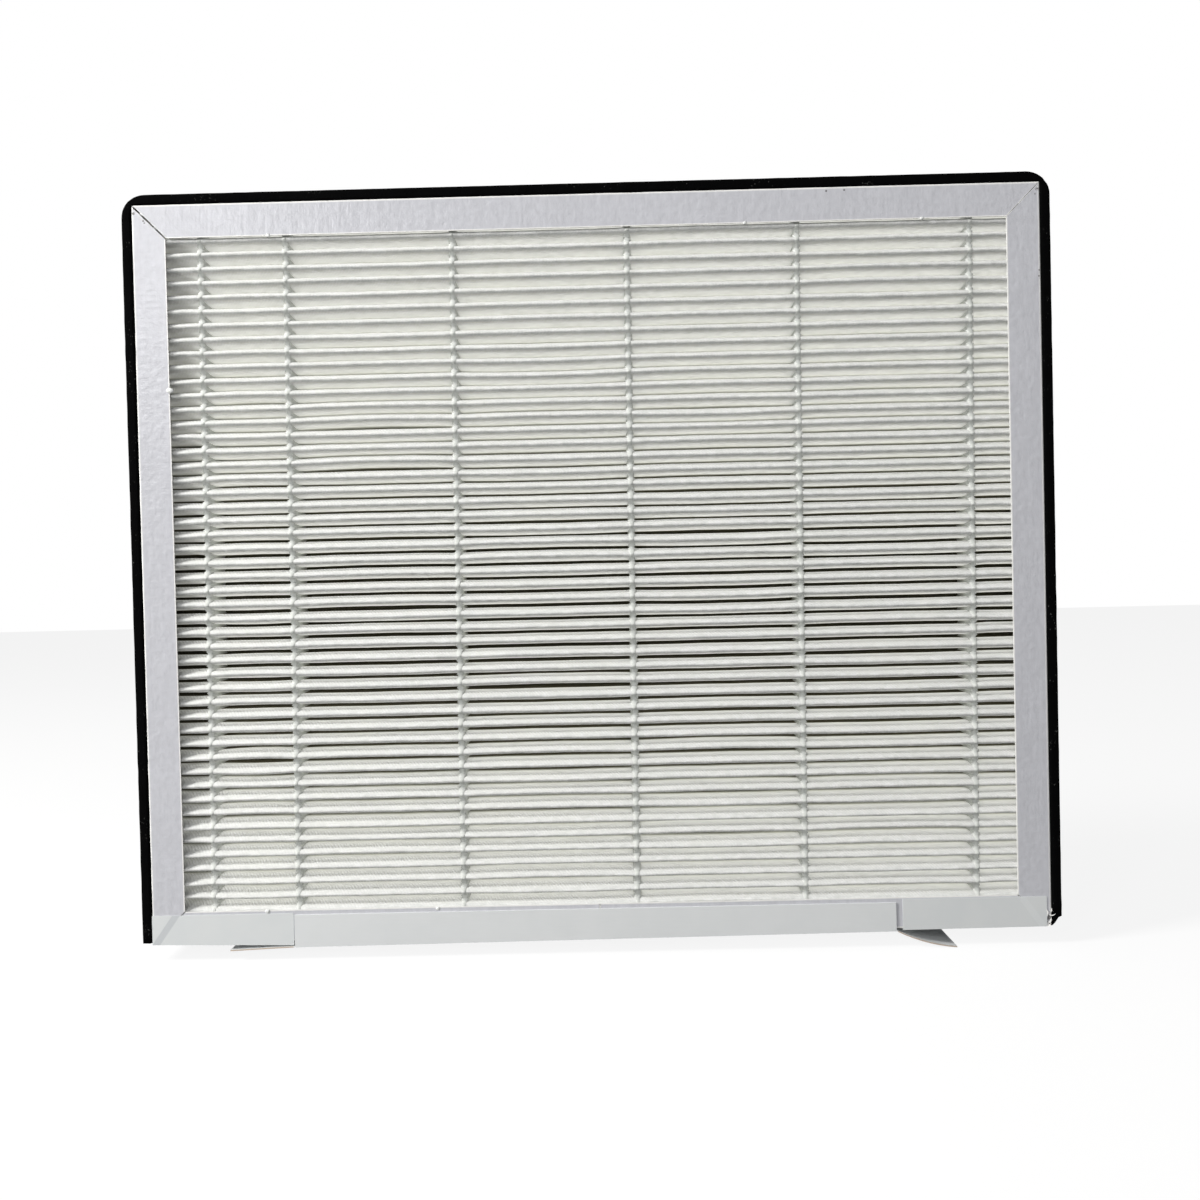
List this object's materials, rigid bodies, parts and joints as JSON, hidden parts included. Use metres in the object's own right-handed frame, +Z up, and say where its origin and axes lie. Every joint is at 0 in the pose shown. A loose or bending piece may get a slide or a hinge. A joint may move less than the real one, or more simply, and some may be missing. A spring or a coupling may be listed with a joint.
{
  "type": "pleated air filter panel",
  "caption": "Flat rectangular air filter panel: pleated white sheet held by glue beads in a folded white card frame, with a black foam seal on three sides.",
  "frame": {"origin": "under the middle of the panel, at its lowest point, where its right ear meets the table", "axes": "+X across the panel to the right as seen from the front, -Y out of the front face, +Z up along the short sides"},
  "size_m": [0.358, 0.031, 0.2986],
  "materials": {
    "frame_card": "satin coated white card",
    "filter_sheet": "soft fibre sheet with an embossed twill",
    "hot_melt": "milky hot melt",
    "black_foam": "closed cell foam",
    "strip_card": "white coated card with a brown core",
    "corner_tape": "smooth white tape"
  },
  "bodies": {
    "root": {"card_frame": "frame_card", "pleated_media_pack": "filter_sheet", "foam_gasket": "black_foam", "closing_strip": "strip_card", "closing_strip_glue": "hot_melt", "edge_seal_left": "hot_melt", "edge_seal_right": "hot_melt", "edge_seal_bottom": "hot_melt", "edge_seal_top": "hot_melt", "corner_tape_left": "corner_tape", "corner_tape_right": "corner_tape", "front_bead_1": "hot_melt", "rear_bead_1": "hot_melt", "front_bead_2": "hot_melt", "rear_bead_2": "hot_melt", "front_bead_3": "hot_melt", "rear_bead_3": "hot_melt", "front_bead_4": "hot_melt", "rear_bead_4": "hot_melt", "front_bead_5": "hot_melt", "rear_bead_5": "hot_melt", "front_bead_6": "hot_melt", "rear_bead_6": "hot_melt"}
  },
  "joints": []
}
